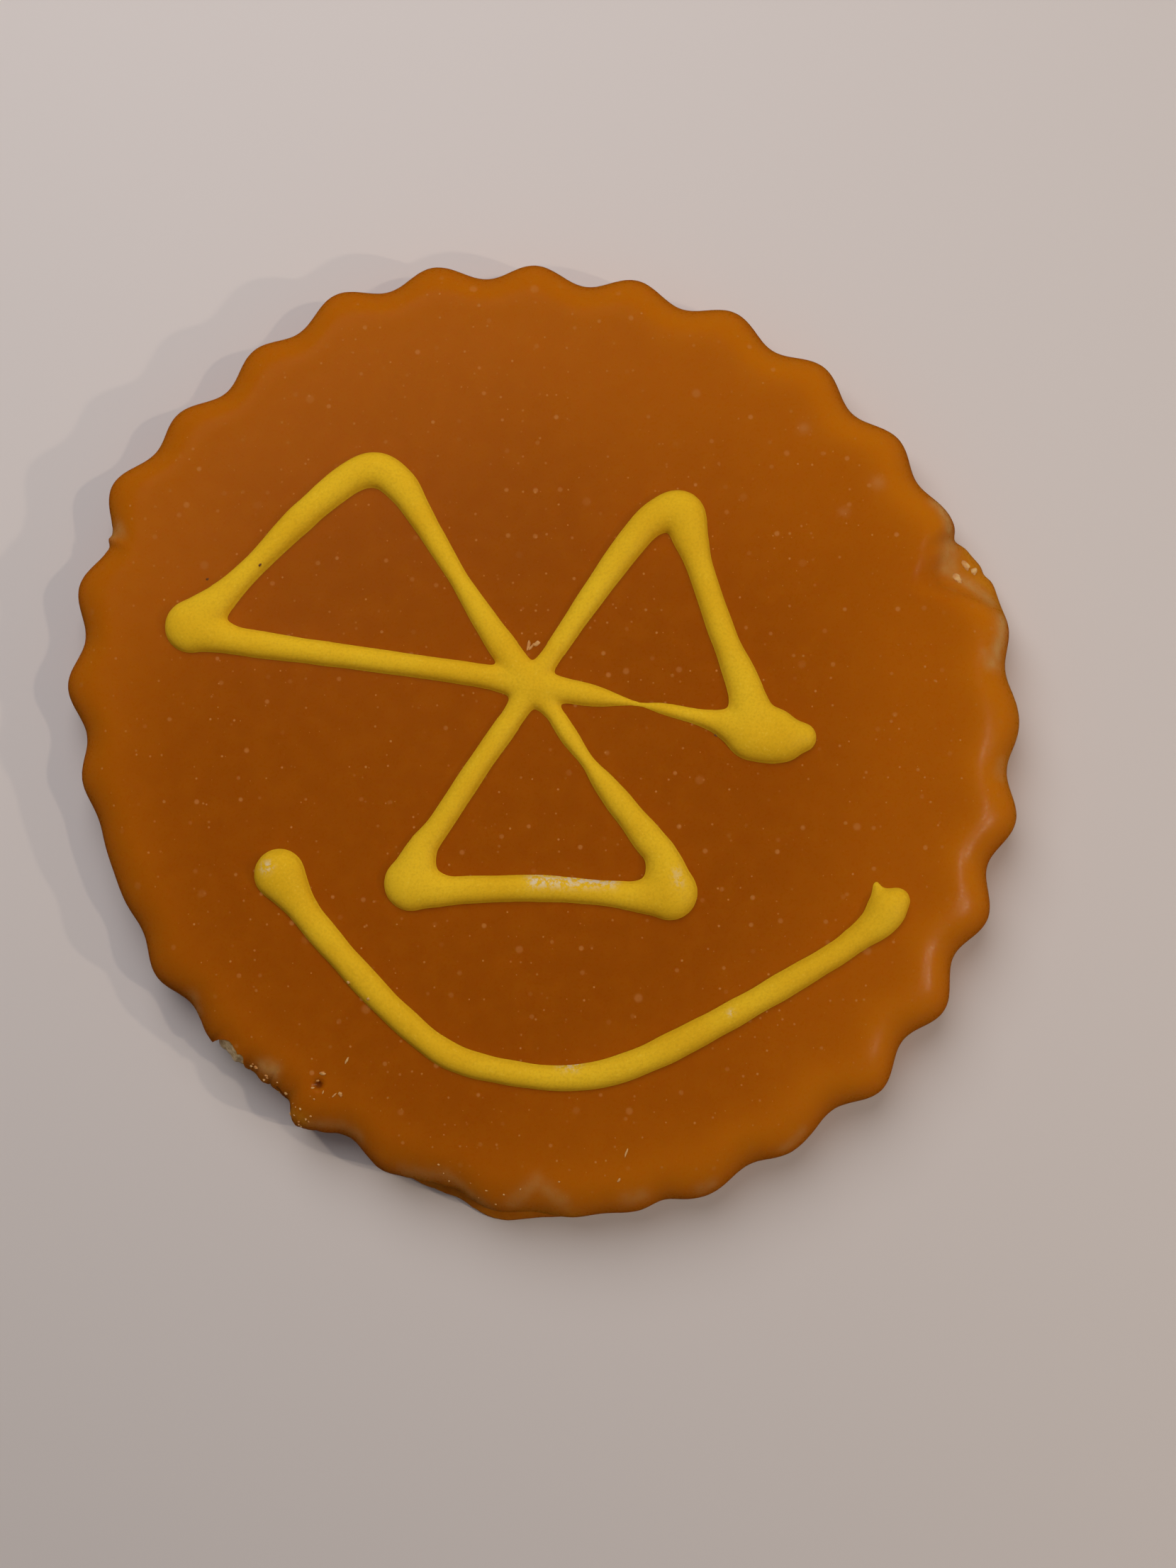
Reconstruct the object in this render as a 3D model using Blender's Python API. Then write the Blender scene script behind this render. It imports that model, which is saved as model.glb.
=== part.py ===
"""Iced sugar cookie: a fluted round biscuit under poured orange icing, with a pumpkin face piped in yellow.

Metres, +Z up. The cookie lies flat on z = 0, and the middle of its plan stands on the origin. The biscuit
and the icing that runs down to its foot are two bodies. The face is piped on the icing's level top as two
more: two eyes and a nose that meet in one spot, and a smile below them.
"""
import math

import bmesh
import bpy
from mathutils import Vector

MM = 0.001
FIT_GAP = 0.3 * MM              # left between bodies that touch

# The iced edge in plan. Angles are in degrees, anticlockwise from +X.
MEAN_RADIUS = 48.0 * MM
FLUTES = 29
FLUTE_DEPTH = 0.85 * MM         # from the mean edge out to a flute's crest
FLUTE_TURN = 10.1
FLUTE_DRIFT = 1.5               # how far the cutter's flutes wander round the edge, twice in a turn
FLUTE_DRIFT_CREST = 8
SAMPLES_PER_FLUTE = 7
SPREAD = [                      # how the dough ran out of round: waves in a turn, height, angle of a crest
    (2, 1.6 * MM, -50),
    (3, 0.7 * MM, 26),
    (4, 0.3 * MM, 3),
    (7, 0.3 * MM, 9),
]
PUSHES = [                      # lone bulges and dents in the edge: angle, half width, height
    (148, 5.0, 1.3 * MM),
    (129, 7.0, -0.65 * MM),
    (18, 3.5, 1.0 * MM),
    (1, 3.5, -0.7 * MM),
    (-58, 3.0, -0.6 * MM),
    (-93, 4.5, 0.45 * MM),
    (-112, 6.0, -0.6 * MM),
    (-131, 6.0, 0.5 * MM),
]
WORN_FLUTES = [                 # where icing filled the fluting: angle, half width
    (22, 9),
    (-82, 14),
    (-105, 6),
    (-134, 6),
    (-162, 11),
]

# The domed skins. Each is a quarter ellipse in section, a shoulder wide and a top high, and level above.
COAT_TOP = 8.5 * MM
COAT_SHOULDER = 7.2 * MM
COAT_RINGS = (0.09, 0.27, 0.44, 0.6, 0.78, 1.0)     # shares of the way up the section
COAT_FOOT_TUCK = 0.5 * MM       # how far the coat's foot turns in where it meets the table
BISCUIT_TOP = 7.0 * MM
BISCUIT_SHOULDER = 6.0 * MM
BISCUIT_INSET = 1.5 * MM        # of the biscuit's side from the iced edge
BISCUIT_RINGS = (0.5, 1.0)
BISCUIT_EDGE = 0.4 * MM         # rounding under the biscuit
CHIP_ANGLE = -135
CHIP_HALF_WIDTH = 3.6
CHIP_ELEVATION = 24             # how far up the section the coat is broken off, in degrees

# The piping. Routes run through (x, y, half width) in millimetres from the piping's own middle.
PIPING_MIDDLE = (-0.1 * MM, 0.25 * MM)      # from the middle of the mean edge
HUB = (-0.7, 3.7, 1.6)
LEFT_CORNER = (-34.7, 9.8, 2.75)
RIGHT_CORNER = (21.3, -1.0, 2.9)
NOSE_LEFT = (-12.4, -15.9, 2.75)
NOSE_RIGHT = (13.0, -16.8, 2.75)
SMILE_FLARE = (34.2, -18.3, 1.9)
FACE_ROUTES = [
    # left eye: up to its rounded top and down to the corner, then back along its base
    [HUB, (-4.6, 9.2, 1.25), (-8.2, 14.9, 0.95), (-11.7, 20.7, 1.25), (-13.8, 23.9, 1.6),
     (-16.2, 25.5, 1.75), (-19.1, 24.6, 1.55), (-23.8, 20.7, 1.4), (-28.1, 16.3, 1.15),
     (-31.2, 13.2, 1.4), LEFT_CORNER],
    [LEFT_CORNER, (-31.5, 8.7, 1.65), (-28.4, 8.0, 1.3), (-15.8, 6.2, 1.15), (-6.4, 4.8, 1.15), HUB],
    # right eye: the same, its base drawn out to a thread, and a tail pulled off its corner
    [HUB, (1.4, 6.7, 1.0), (5.2, 12.3, 1.2), (9.1, 17.7, 1.45), (11.6, 20.3, 1.7), (14.2, 20.8, 2.2),
     (15.3, 18.0, 1.65), (16.2, 15.1, 1.3), (18.3, 8.8, 1.25), (20.5, 3.2, 1.7), RIGHT_CORNER],
    [RIGHT_CORNER, (16.9, 0.2, 0.95), (12.4, 1.3, 0.5), (9.8, 1.8, 0.3), (6.1, 2.5, 0.9),
     (3.0, 3.1, 1.2), HUB],
    [RIGHT_CORNER, (24.3, -1.6, 2.55), (26.0, -1.6, 1.5)],
    # nose: down the left, across, and back up the right
    [HUB, (-2.1, 1.1, 1.15), (-5.9, -4.4, 1.15), (-9.5, -9.9, 1.15), (-11.4, -12.6, 1.55), NOSE_LEFT],
    [NOSE_LEFT, (-9.4, -16.6, 1.6), (-6.1, -16.5, 1.3), (0.5, -16.4, 1.2), (7.0, -16.9, 1.2),
     (10.2, -17.2, 1.65), NOSE_RIGHT],
    [NOSE_RIGHT, (12.3, -13.5, 1.75), (10.7, -11.3, 1.45), (6.9, -6.5, 1.1), (5.0, -4.0, 0.65),
     (3.2, -1.5, 0.9), (1.5, 1.1, 0.9), HUB],
]
SMILE_ROUTES = [
    [(-25.5, -15.0, 2.55), (-23.6, -17.7, 1.65), (-21.7, -20.2, 1.4), (-17.6, -24.8, 1.35),
     (-13.3, -29.1, 1.3), (-8.5, -32.7, 1.3), (-2.7, -34.3, 1.2), (3.4, -34.8, 1.2), (9.3, -33.5, 1.35),
     (17.5, -29.5, 1.3), (28.1, -23.4, 1.15), (31.0, -21.4, 1.2), (33.2, -19.7, 1.6), SMILE_FLARE,
     (35.1, -17.6, 1.3)],
    # a short prong left where the nozzle pulled away
    [SMILE_FLARE, (33.3, -16.9, 0.75), (33.1, -15.9, 0.4)],
]
PIPE_SIDES = 16
PIPE_STEP = 0.5 * MM            # between sections along a route
PIPE_STEEPNESS = 1.25           # height over half width, on a thin line
PIPE_MOST = 2.4 * MM            # the height that a wide blob comes near
PIPE_LIFT = 0.15 * MM           # of the sections' middle above the icing, so that the sides turn under
MELT_VOXEL = 0.25 * MM
MELT_REACH = 4.5 * MM           # how far round a meeting of routes the icing ran together
MELT_ROUNDS = 14                # of smoothing within that reach
FINISH_ROUNDS = 3               # of smoothing all over
SMOOTHING = 0.5                 # share of the way to its neighbours' middle that a round moves a vertex
FACE_KEEP = 0.036               # share of the faces kept when the melted body is thinned out
SMILE_KEEP = 0.036

# Finishes: linear colour and roughness.
BAKED_DOUGH = ((0.60, 0.42, 0.24), 0.8)
ORANGE_ICING = ((0.32, 0.075, 0.006), 0.35)
YELLOW_ICING = ((0.58, 0.33, 0.014), 0.55)
SHARP_ANGLE = math.radians(40)


def bump(angle, place, half_width):
    """1 at place, fading to nothing on both sides, for angles in degrees."""
    away = (angle - place + 180) % 360 - 180
    return math.exp(-(away / half_width) ** 2)


def edge_radius(angle, fluting):
    """Distance from the middle to the iced edge, with fluting as the share of the flutes' depth."""
    radius = MEAN_RADIUS
    for waves, height, crest in SPREAD:
        radius += height * math.cos(math.radians(waves * (angle - crest)))
    for place, half_width, height in PUSHES:
        radius += height * bump(angle, place, half_width)
    depth = FLUTE_DEPTH * fluting
    for place, half_width in WORN_FLUTES:
        depth *= 1 - bump(angle, place, half_width)
    drift = FLUTE_DRIFT * math.cos(math.radians(2 * (angle - FLUTE_DRIFT_CREST)))
    return radius + depth * math.cos(math.radians(FLUTES * (angle + FLUTE_TURN + drift)))


def skin_point(angle, inset, shoulder, top, elevation):
    """A point on a domed skin, elevation degrees up its section. The fluting fades towards the top."""
    rise = math.radians(elevation)
    radius = edge_radius(angle, math.cos(rise)) - inset - shoulder * (1 - math.cos(rise))
    turn = math.radians(angle)
    return Vector((radius * math.cos(turn), radius * math.sin(turn), top * math.sin(rise)))


def ring(bm, make_point):
    """One closed row of vertices round the cookie."""
    count = FLUTES * SAMPLES_PER_FLUTE
    return [bm.verts.new(make_point(360 * i / count)) for i in range(count)]


def join_rings(bm, rings):
    """Bands of faces between neighbouring rings. They face outwards where the rings are listed upwards."""
    for lower, upper in zip(rings, rings[1:]):
        for i, vert in enumerate(lower):
            after = (i + 1) % len(lower)
            bm.faces.new((vert, lower[after], upper[after], upper[i]))


def finish(name, bm, look):
    """Turn a bmesh into a named, smooth-shaded object with its own material."""
    mesh = bpy.data.meshes.new(name)
    bm.to_mesh(mesh)
    bm.free()
    mesh.shade_smooth()
    mesh.set_sharp_from_angle(angle=SHARP_ANGLE)
    material = bpy.data.materials.new(name)
    material.use_nodes = True
    shader = material.node_tree.nodes["Principled BSDF"]
    colour, roughness = look
    shader.inputs["Base Color"].default_value = (*colour, 1)
    shader.inputs["Roughness"].default_value = roughness
    shader.inputs["Metallic"].default_value = 0
    mesh.materials.append(material)
    obj = bpy.data.objects.new(name, mesh)
    bpy.context.collection.objects.link(obj)
    return obj


def biscuit():
    """The baked base: level above and below, fluted round the side."""
    bm = bmesh.new()
    side = math.degrees(math.asin(BISCUIT_EDGE / BISCUIT_TOP))
    levels = [(BISCUIT_INSET + BISCUIT_EDGE, 0), (BISCUIT_INSET, side)]
    levels += [(BISCUIT_INSET, 90 * share) for share in BISCUIT_RINGS]
    rings = []
    for inset, elevation in levels:
        rings.append(ring(bm, lambda a: skin_point(a, inset, BISCUIT_SHOULDER, BISCUIT_TOP, elevation)))
    join_rings(bm, rings)
    bm.faces.new(reversed(rings[0]))
    bm.faces.new(rings[-1])
    return finish("biscuit", bm, BAKED_DOUGH)


def chipped(angle, share):
    """Elevation that is share of the way from the coat's foot, which a chip lifts, to its level top."""
    foot = CHIP_ELEVATION * bump(angle, CHIP_ANGLE, CHIP_HALF_WIDTH)
    return foot + (90 - foot) * share


def icing_coat():
    """The icing: a cap that follows the biscuit over its shoulder and down to the table."""
    bm = bmesh.new()
    outside = [ring(bm, lambda a: skin_point(a, COAT_FOOT_TUCK, COAT_SHOULDER, COAT_TOP, chipped(a, 0)))]
    for share in COAT_RINGS:
        outside.append(ring(bm, lambda a: skin_point(a, 0, COAT_SHOULDER, COAT_TOP, chipped(a, share))))
    inset = BISCUIT_INSET - FIT_GAP
    shoulder = BISCUIT_SHOULDER + FIT_GAP
    top = BISCUIT_TOP + FIT_GAP
    inside = []
    for share in (0, *BISCUIT_RINGS):
        inside.append(ring(bm, lambda a: skin_point(a, inset, shoulder, top, chipped(a, share))))
    join_rings(bm, [*reversed(inside), *outside])
    bm.faces.new(outside[-1])
    bm.faces.new(reversed(inside[-1]))
    return finish("icing_coat", bm, ORANGE_ICING)


def smooth_route(route):
    """Places (x, y, half width) in metres, PIPE_STEP apart, on a Catmull-Rom curve through the route."""
    points = [Vector(p) * MM for p in route]
    points = [2 * points[0] - points[1], *points, 2 * points[-1] - points[-2]]
    places = []
    for before, start, end, after in zip(points, points[1:], points[2:], points[3:]):
        steps = max(2, round((end - start).xy.length / PIPE_STEP))
        for i in range(steps):
            t = i / steps
            pull = (end - before) * t + (2 * before - 5 * start + 4 * end - after) * t ** 2
            places.append(start + (pull + (3 * start - before - 3 * end + after) * t ** 3) / 2)
    return [*places, points[-2]]


def pipe_height(half_width):
    """Height of piped icing that spread to half_width: steep on a thin line, levelling off on a blob."""
    return PIPE_MOST * math.tanh(PIPE_STEEPNESS * half_width / PIPE_MOST)


def sweep(bm, places):
    """A closed tube of oval sections along places, with a round blob at each end."""
    rings = []
    for i, place in enumerate(places):
        along = (places[min(i + 1, len(places) - 1)] - places[max(i - 1, 0)]).xy.normalized()
        row = []
        for k in range(PIPE_SIDES):
            turn = 2 * math.pi * k / PIPE_SIDES
            across = place.z * math.cos(turn)
            height = PIPE_LIFT + pipe_height(place.z) * math.sin(turn)
            row.append(bm.verts.new((place.x - along.y * across, place.y + along.x * across, height)))
        rings.append(row)
    join_rings(bm, rings)
    bm.faces.new(reversed(rings[0]))
    bm.faces.new(rings[-1])
    for end in (places[0], places[-1]):
        ball = bmesh.ops.create_uvsphere(bm, u_segments=PIPE_SIDES, v_segments=PIPE_SIDES // 2, radius=1)
        bmesh.ops.scale(bm, verts=ball["verts"], vec=(end.z, end.z, pipe_height(end.z)))
        bmesh.ops.translate(bm, verts=ball["verts"], vec=(end.x, end.y, PIPE_LIFT))


def melt(name, routes):
    """The routes' tubes run together into one skin, softened most where they meet."""
    bm = bmesh.new()
    for route in routes:
        sweep(bm, smooth_route(route))
    bmesh.ops.recalc_face_normals(bm, faces=bm.faces)
    mesh = bpy.data.meshes.new(name)
    bm.to_mesh(mesh)
    bm.free()
    guide = bpy.data.objects.new(name + "_guide", mesh)
    bpy.context.collection.objects.link(guide)
    remesh = guide.modifiers.new("melt", "REMESH")
    remesh.mode = "VOXEL"
    remesh.voxel_size = MELT_VOXEL
    melted = bmesh.new()
    melted.from_object(guide, bpy.context.evaluated_depsgraph_get())
    bpy.data.objects.remove(guide)
    ends = [Vector(route[i][:2]) * MM for route in routes for i in (0, -1)]
    soft = [v for v in melted.verts if min((v.co.xy - end).length for end in ends) < MELT_REACH]
    for verts, rounds in ((melted.verts, FINISH_ROUNDS), (soft, MELT_ROUNDS)):
        for _ in range(rounds):
            bmesh.ops.smooth_vert(
                melted, verts=verts, factor=SMOOTHING, use_axis_x=True, use_axis_y=True, use_axis_z=True)
    return melted


def piping(name, routes, keep, cutter):
    """A piped body, thinned out and cut level where it lies on the icing."""
    obj = finish(name, melt(name, routes), YELLOW_ICING)
    obj.location = (*PIPING_MIDDLE, COAT_TOP + FIT_GAP)
    thin = obj.modifiers.new("thin", "DECIMATE")
    thin.ratio = keep
    level = obj.modifiers.new("level", "BOOLEAN")
    level.operation = "DIFFERENCE"
    level.solver = "EXACT"
    level.object = cutter
    return obj


def level_cutter():
    """A guide slab whose top is where the piping is cut level. It isn't part of the cookie."""
    size = 3 * MEAN_RADIUS
    bpy.ops.mesh.primitive_cube_add(size=size, location=(0, 0, COAT_TOP + FIT_GAP - size / 2))
    slab = bpy.context.object
    slab.name = "level_guide"
    slab.hide_render = True
    slab.display_type = "WIRE"
    return slab


def centre_on_origin(objects, widest):
    """Hang everything on one empty, moved so that the widest body's plan is centred on the origin."""
    anchor = bpy.data.objects.new("cookie", None)
    bpy.context.collection.objects.link(anchor)
    for axis in (0, 1):
        along = [v.co[axis] for v in widest.data.vertices]
        anchor.location[axis] = -(min(along) + max(along)) / 2
    for obj in objects:
        obj.parent = anchor


def build():
    for obj in list(bpy.data.objects):
        bpy.data.objects.remove(obj)
    slab = level_cutter()
    coat = icing_coat()
    face = piping("piped_face", FACE_ROUTES, FACE_KEEP, slab)
    smile = piping("piped_smile", SMILE_ROUTES, SMILE_KEEP, slab)
    centre_on_origin((biscuit(), coat, face, smile, slab), coat)


build()
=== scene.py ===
"""The looks of the iced sugar cookie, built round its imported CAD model.

Metres, +Z up, in the CAD frame. The fine skins repeat the CAD's outline, section and piping routes and add what
the solids leave out: a fuller rim, ledges where the icing slid, a chip, ragged feet, bubbles, crumbs and scuffs.
Angles are in degrees, anticlockwise from +X, round the middle of the mean edge.
"""
import math
import random

import bmesh
import bpy
import numpy as np
from mathutils import Matrix, Vector, noise
from mathutils.bvhtree import BVHTree


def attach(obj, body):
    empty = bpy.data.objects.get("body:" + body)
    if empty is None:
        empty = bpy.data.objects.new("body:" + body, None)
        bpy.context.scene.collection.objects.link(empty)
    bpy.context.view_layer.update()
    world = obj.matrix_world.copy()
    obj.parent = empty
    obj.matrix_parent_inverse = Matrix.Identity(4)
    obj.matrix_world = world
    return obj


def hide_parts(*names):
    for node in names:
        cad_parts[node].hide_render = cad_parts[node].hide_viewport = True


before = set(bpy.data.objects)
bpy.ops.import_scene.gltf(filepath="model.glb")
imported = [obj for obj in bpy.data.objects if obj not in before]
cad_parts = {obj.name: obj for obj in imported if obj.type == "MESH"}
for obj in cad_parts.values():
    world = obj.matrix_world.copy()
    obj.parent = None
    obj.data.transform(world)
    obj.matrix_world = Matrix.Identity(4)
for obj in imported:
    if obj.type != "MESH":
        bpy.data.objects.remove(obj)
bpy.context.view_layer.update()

MM = 0.001

# ---- The CAD's outline and sections ----
MEAN_RADIUS = 48.0 * MM
FLUTES = 29
FLUTE_DEPTH = 0.85 * MM
FLUTE_TURN = 10.1
FLUTE_DRIFT = 1.5
FLUTE_DRIFT_CREST = 8
SPREAD = [(2, 1.6 * MM, -50), (3, 0.7 * MM, 26), (4, 0.3 * MM, 3), (7, 0.3 * MM, 9)]
PUSHES = [
    (148, 5.0, 1.3 * MM),
    (129, 7.0, -0.65 * MM),
    (18, 3.5, 1.0 * MM),
    (1, 3.5, -0.7 * MM),
    (-58, 3.0, -0.6 * MM),
    (-93, 4.5, 0.45 * MM),
    (-112, 6.0, -0.6 * MM),
    (-131, 6.0, 0.5 * MM),
]
WORN_FLUTES = [(22, 9), (-82, 14), (-105, 6), (-134, 6), (-162, 11)]
COAT_TOP = 8.5 * MM
COAT_SHOULDER = 7.2 * MM
COAT_WIDEST = 0.09              # share of the way up at which the CAD's coat is widest
COAT_FOOT_TUCK = 0.5 * MM
CAD_SAMPLES_PER_FLUTE = 7
BISCUIT_TOP = 7.0 * MM
BISCUIT_SHOULDER = 6.0 * MM
BISCUIT_INSET = 1.5 * MM
BISCUIT_EDGE = 0.4 * MM
FIT_GAP = 0.3 * MM
CHIP_ANGLE = -135
CHIP_HALF_WIDTH = 3.6
CHIP_ELEVATION = 24

# ---- What the fine skins add to them ----
SKIN = 0.17 * MM                # the fine outline stays this far inside the CAD's
SQUARENESS = 3.4                # of the fine sections: 2 is round, and more fills out the shoulder
FLUTE_FADE = 0.5                # power with which the fluting fades up the section
LIP_INSET = 4.3 * MM            # of the soft lip from the iced edge
LIP_WIDTH = 1.6 * MM
LIP_HEIGHT = 0.15 * MM
EDGE_BUMPS = [                  # small ones in its outline: angle, half width, height
    (24.6, 1.0, -0.6 * MM),
    (19.4, 0.8, -0.3 * MM),
    (156.2, 0.5, 0.35 * MM),
    (-130.6, 1.6, -0.6 * MM),
    (-124.2, 1.2, -0.7 * MM),
    (-121.7, 0.8, 0.3 * MM),
    (-83.0, 3.4, -0.55 * MM),
    (-75.4, 2.0, -0.45 * MM),
]
LEDGES = [                      # where it slid and pooled lower: angle, half width, power, depth, elevations
    (19.8, 4.2, 2, 4.4 * MM, 14, 46),
    (-97, 9.5, 4, 1.3 * MM, 4, 11),
]
BARED_ANGLE = -133.6            # of the chip, its half width and the elevation that it bares, in degrees
BARED_HALF_WIDTH = 2.9
BARED_FOOT = 57
BARED_RAG = 0.12
BARED_INSET = 0.35 * MM         # of the bared biscuit, which fills out nearly to the icing, and its top
BARED_TOP = 8.25 * MM
BARED_FADE = (60, 75)           # elevations over which it returns to the biscuit's own skin
BARED_ROUGHNESS = 0.2 * MM      # of its broken face, and the size of its lumps
BARED_LUMP = 0.7 * MM
RAGS = [                        # ragged stretches of the edge: angle, half width, depth
    (-127, 8.5, 0.6 * MM),
    (-103, 7.0, 0.3 * MM),
    (156, 2.2, 0.3 * MM),
]
RAG_REACH = 16                  # radius, in waves, on which the raggedness is drawn
RAG_FINE = (3, 8)               # its finer waves, each half as deep as the one before
AROUND = FLUTES * 40
WALL_RINGS = 44
BISCUIT_RINGS = 36
TOP_STEP = 0.5 * MM             # between rings on the level top
THIN_OUT_AT = (1, 0.58, 0.26)   # shares of the level top's radius at which the rings halve their points
UNDULATION = 0.07 * MM
UNDULATION_LENGTH = 13 * MM
RIPPLE = 0.06 * MM
RIPPLE_LENGTH = 1.9 * MM

# ---- The piping: routes of (x, y, half width) in millimetres, from the piping's own middle ----
PIPING_MIDDLE = (-0.1 * MM, 0.25 * MM)
HUB = (-0.7, 3.7, 1.6)
LEFT_CORNER = (-34.7, 9.8, 2.75)
RIGHT_CORNER = (21.3, -1.0, 2.9)
NOSE_LEFT = (-12.4, -15.9, 2.75)
NOSE_RIGHT = (13.0, -16.8, 2.75)
SMILE_FLARE = (34.2, -18.3, 1.9)
FACE_ROUTES = [
    # left eye: up to its rounded top and down to the corner, then back along its base
    [HUB, (-4.6, 9.2, 1.25), (-8.2, 14.9, 0.95), (-11.7, 20.7, 1.25), (-13.8, 23.9, 1.6),
     (-16.2, 25.5, 1.75), (-19.1, 24.6, 1.55), (-23.8, 20.7, 1.4), (-28.1, 16.3, 1.15),
     (-31.2, 13.2, 1.4), LEFT_CORNER],
    [LEFT_CORNER, (-31.5, 8.7, 1.65), (-28.4, 8.0, 1.3), (-15.8, 6.2, 1.15), (-6.4, 4.8, 1.15), HUB],
    # right eye: the same, its base drawn out to a thread, and a tail pulled off its corner
    [HUB, (1.4, 6.7, 1.0), (5.2, 12.3, 1.2), (9.1, 17.7, 1.45), (11.6, 20.3, 1.7), (14.2, 20.8, 2.2),
     (15.3, 18.0, 1.65), (16.2, 15.1, 1.3), (18.3, 8.8, 1.25), (20.5, 3.2, 1.7), RIGHT_CORNER],
    [RIGHT_CORNER, (16.9, 0.2, 0.95), (12.4, 1.3, 0.5), (9.8, 1.8, 0.22), (6.1, 2.5, 0.9),
     (3.0, 3.1, 1.2), HUB],
    [RIGHT_CORNER, (24.3, -1.6, 2.55), (26.0, -1.6, 1.5)],
    # nose: down the left, across, and back up the right
    [HUB, (-2.1, 1.1, 1.15), (-5.9, -4.4, 1.15), (-9.5, -9.9, 1.15), (-11.4, -12.6, 1.55), NOSE_LEFT],
    [NOSE_LEFT, (-9.4, -16.6, 1.6), (-6.1, -16.5, 1.3), (0.5, -16.4, 1.2), (7.0, -16.9, 1.2),
     (10.2, -17.2, 1.65), NOSE_RIGHT],
    [NOSE_RIGHT, (12.3, -13.5, 1.75), (10.7, -11.3, 1.45), (6.9, -6.5, 1.1), (5.0, -4.0, 0.65),
     (3.2, -1.5, 0.9), (1.5, 1.1, 0.9), HUB],
]
SMILE_ROUTES = [
    [(-25.5, -15.0, 2.55), (-23.6, -17.7, 1.65), (-21.7, -20.2, 1.4), (-17.6, -24.8, 1.35),
     (-13.3, -29.1, 1.3), (-8.5, -32.7, 1.3), (-2.7, -34.3, 1.2), (3.4, -34.8, 1.2), (9.3, -33.5, 1.35),
     (17.5, -29.5, 1.3), (28.1, -23.4, 1.15), (31.0, -21.4, 1.2), (33.2, -19.7, 1.6), SMILE_FLARE,
     (35.1, -17.6, 1.3)],
    # a short prong left where the nozzle pulled away
    [SMILE_FLARE, (33.3, -16.9, 0.75), (33.1, -15.9, 0.4)],
]
PIPE_SIDES = 24
PIPE_WAVER = (0.07, 2.6 * MM)   # share by which its width wavers, and how far apart
PIPE_STEP = 0.3 * MM
PIPE_STEEPNESS = 1.25
PIPE_MOST = 2.4 * MM
PIPE_LIFT = 0.15 * MM
PIPE_CUT = 0.17 * MM            # height at which the swept piping is cut, at its widest
PIPE_SINK = 0.1 * MM            # how far its cut foot sits in the coat
PIPE_LOWNESS = 0.8              # share of the CAD's height over the coat
PIPE_SKIRT = (0.14 * MM, 0.45 * MM)     # spread of its foot, and the height over which that fades
MELT_VOXEL = 0.18 * MM
MELT_REACH = 4.5 * MM
MELT_ROUNDS = 20
FINISH_ROUNDS = 5
SMOOTHING = 0.5
DIMPLES = [                     # pressed into the piping: x, y, radius, depth
    (22.6, -0.2, 1.3 * MM, 0.3 * MM),
    (-25.9, -12.6, 0.35 * MM, 0.3 * MM),
]

# ---- Finishes, with painted light and shade ----
# middle of the painted shade that darkens the icing's colour towards it
PAINTED_SHADE_MIDDLE = (-4 * MM, -4 * MM, COAT_TOP)
RIM_PAINTED_LIGHT = (2.8, 2.8, -8)       # inset and half width of the painted light on its rim in millimetres, and the angle where that is strongest
RIM_PAINTED_SHADE = (1.3, 0.3)          # reach in millimetres of the painted shade that darkens its wall, and the strength of that
# Streaks along the edge, in degrees and millimetres: angle and inset of their two ends, half width and strength
EDGE_DEGREE = 0.84              # millimetres along the edge in a degree
FILMS = [                       # where the icing is a film over the dough
    (155.6, 1.2, 154.6, 2.6, 0.7, 0.6),
    (29.3, 1.3, 25.6, 1.7, 0.6, 1.0),
    (24.2, 2.2, 21.0, 4.2, 0.9, 0.8),
    (21.0, 4.2, 15.5, 1.8, 0.7, 0.7),
    (12.8, 1.6, 7.6, 2.2, 0.75, 1.0),
    (9.3, 3.4, 7.0, 2.9, 0.4, 0.4),
    (-4.6, 1.5, -6.4, 1.8, 0.6, 0.35),
    (-60, 1.5, -57, 1.7, 0.5, 0.35),
    (-70.8, 1.6, -69.4, 1.6, 0.6, 0.45),
    (-79.5, 2.5, -77.5, 2.4, 0.7, 0.4),
    (-93, 3.2, -90.1, 5.1, 0.8, 0.4),
    (-90.1, 5.1, -87, 3.0, 0.8, 0.4),
    (-101.5, 3.4, -96, 2.2, 0.6, 0.35),
    (-107, 1.9, -101.5, 3.4, 0.7, 0.35),
    (-119.6, 1.8, -113.5, 1.8, 0.6, 0.35),
    (-128.8, 2.9, -127.5, 2.9, 0.8, 0.9),
    (-142.4, 1.9, -140.2, 1.2, 0.6, 0.35),
]
GOLDS = [                       # where it is clear and golden
    (23, 0.3, 19.8, 1.4, 1.1, 0.9),
    (19.8, 1.4, 14, 0.6, 1.1, 0.9),
    (9, 0.6, -12, 0.6, 0.9, 0.45),
    (-95.5, 0.6, -86, 1.4, 0.9, 0.5),
    (-105, 1.0, -95.5, 0.4, 0.9, 0.6),
    (-122.2, 1.6, -120.8, 1.8, 0.7, 0.8),
    (-131, 1.0, -124, 0.8, 0.7, 0.4),
]
SCUFFS = [                      # on the piping, in millimetres: x and y of two ends, half width and strength
    (-0.4, -15.4, 7.2, -15.4, 0.6, 1.0),
    (2.5, -33.2, 3.7, -33.2, 0.5, 0.9),
    (18.7, -28.2, 18.8, -28.1, 0.3, 0.6),
    (-26.7, -14.1, -26.5, -14.0, 0.5, 0.9),
    (13.6, -14.6, 13.8, -15.6, 0.5, 0.35),
]
BIG_BUBBLES = [(33.7, 24.0, 0.65), (30.3, 21.1, 0.45), (26.4, 29.6, 0.5)]     # x, y and radius in millimetres
BURST = (-21.5, -35.3, 0.5, 0.5)        # a bubble that burst, darkened in its hollow with painted shade: x, y, radius and depth in millimetres
CREVICES = [(-126.0, 1.7, -123.0, 1.8, 0.16, 1.0)]      # painted shade in cracks along the edge, as streaks
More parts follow.
